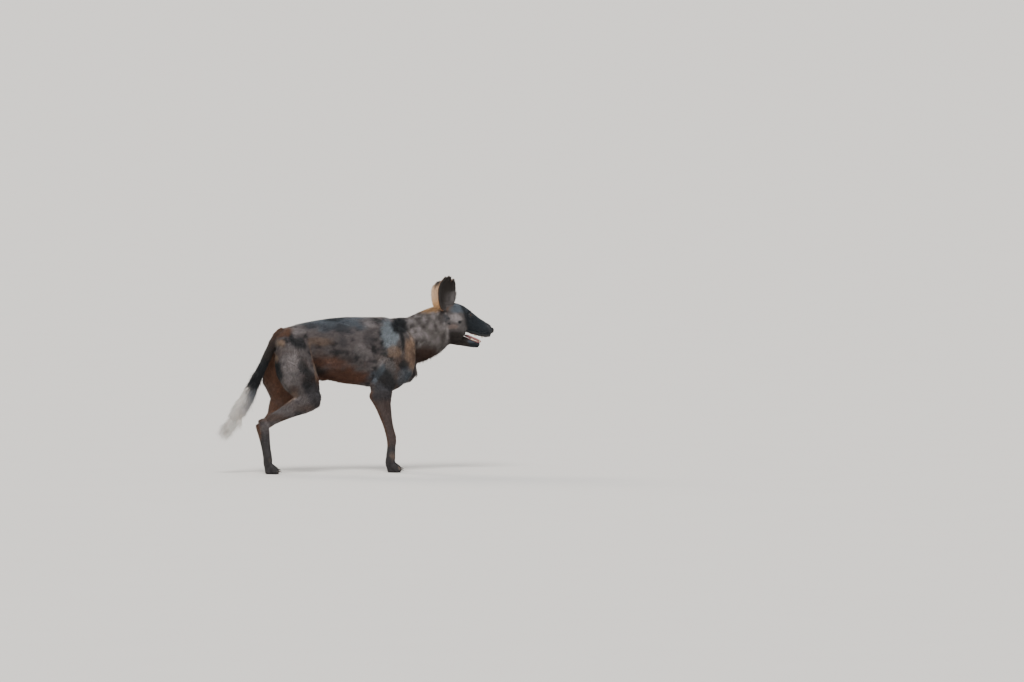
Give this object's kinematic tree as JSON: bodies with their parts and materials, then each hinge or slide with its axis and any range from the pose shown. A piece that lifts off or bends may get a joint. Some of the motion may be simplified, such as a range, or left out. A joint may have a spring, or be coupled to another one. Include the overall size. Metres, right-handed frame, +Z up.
{
  "type": "african wild dog",
  "caption": "Life-size still African wild dog in a low walking stance, mouth open and round ears up, standing on four paws.",
  "frame": {"origin": "on the floor under the middle of the body's bounding box", "axes": "+X towards the nose, +Y to the animal's left, +Z up"},
  "size_m": [1.189, 0.2248, 0.8218],
  "materials": {
    "coat": "short mottled fur, matte",
    "tail_brush": "long soft fur, white at the end",
    "nose_leather": "moist grained skin",
    "eye": "wet and clear",
    "tongue": "moist",
    "tooth": "smooth",
    "claw": "worn horn"
  },
  "bodies": {
    "root": {"trunk": "coat", "neck": "coat", "head": "coat", "lower_jaw": "coat", "nose": "nose_leather", "ear_right": "coat", "ear_left": "coat", "eye_right": "eye", "eye_left": "eye", "tongue": "tongue", "upper_teeth": "tooth", "lower_teeth": "tooth", "tail": "tail_brush", "foreleg_right_upper_arm": "coat", "foreleg_right_forearm": "coat", "forepaw_right": "coat", "forepaw_right_claw_inner": "claw", "forepaw_right_claw_second": "claw", "forepaw_right_claw_third": "claw", "forepaw_right_claw_outer": "claw", "foreleg_left_upper_arm": "coat", "foreleg_left_forearm": "coat", "forepaw_left": "coat", "forepaw_left_claw_inner": "claw", "forepaw_left_claw_second": "claw", "forepaw_left_claw_third": "claw", "forepaw_left_claw_outer": "claw", "hindleg_right_thigh": "coat", "hindleg_right_lower_leg": "coat", "hindpaw_right": "coat", "hindpaw_right_claw_inner": "claw", "hindpaw_right_claw_second": "claw", "hindpaw_right_claw_third": "claw", "hindpaw_right_claw_outer": "claw", "hindleg_left_thigh": "coat", "hindleg_left_lower_leg": "coat", "hindpaw_left": "coat", "hindpaw_left_claw_inner": "claw", "hindpaw_left_claw_second": "claw", "hindpaw_left_claw_third": "claw", "hindpaw_left_claw_outer": "claw"}
  },
  "joints": []
}
